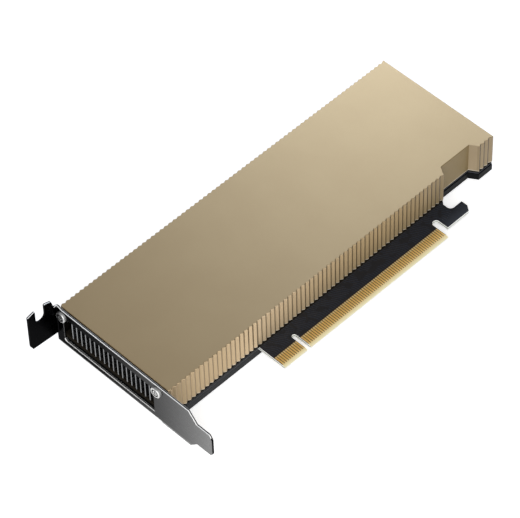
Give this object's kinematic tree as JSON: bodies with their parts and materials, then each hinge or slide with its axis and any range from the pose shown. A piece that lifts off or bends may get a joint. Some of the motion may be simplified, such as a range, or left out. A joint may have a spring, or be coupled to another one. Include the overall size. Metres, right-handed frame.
{
  "type": "passive accelerator card",
  "caption": "Low-profile single-slot expansion card with a ribbed metal heat cover, vented bracket with screw tab, and a long gold edge connector.",
  "frame": {"origin": "middle of the edge connector's key notch, on the contact edge, at the board's component face", "axes": "+X from the bracket to the far end, +Y from the contact edge to the top edge, +Z from the component face to the cover"},
  "size_m": [0.18, 0.0788, 0.0246],
  "materials": {
    "board": "black solder mask over glass fibre",
    "gold": "gold plated",
    "cover_metal": "champagne anodised, fine bead-blasted",
    "rear_metal": "black anodised",
    "bracket_metal": "black nickel plated",
    "bright_screw": "nickel plated",
    "dark_screw": "black oxide",
    "copper": "nickel-plated base",
    "fin_metal": "bare sheet",
    "standoff_metal": "turned",
    "spring_steel": "satin",
    "substrate": "green package laminate",
    "silicon": "polished",
    "paste": "grey paste",
    "chip_plastic": "moulded",
    "thermal_pad": "soft pad",
    "ferrite": "pressed powder",
    "capacitor_body": "moulded",
    "ceramic": "fired",
    "crystal_can": "stamped"
  },
  "bodies": {
    "root": {"circuit_board": "board", "edge_contacts_front": "gold", "edge_contacts_back": "gold", "cover": "cover_metal", "rear_plate": "rear_metal", "io_bracket": "bracket_metal", "bracket_screws": "bright_screw", "cover_screws": "dark_screw", "heatsink_base": "copper", "heatsink_fins": "fin_metal", "heatsink_standoffs": "standoff_metal", "heatsink_screws": "bright_screw", "retention_spring": "spring_steel", "processor_substrate": "substrate", "processor_die": "silicon", "thermal_paste": "paste", "memory_chips": "chip_plastic", "memory_pads": "thermal_pad", "inductors": "ferrite", "inductor_pads": "thermal_pad", "power_stages": "chip_plastic", "bulk_capacitors": "capacitor_body", "ceramic_capacitors": "ceramic", "rear_capacitors": "ceramic", "controller_chip": "chip_plastic", "firmware_chip": "chip_plastic", "crystal": "crystal_can"}
  },
  "joints": []
}
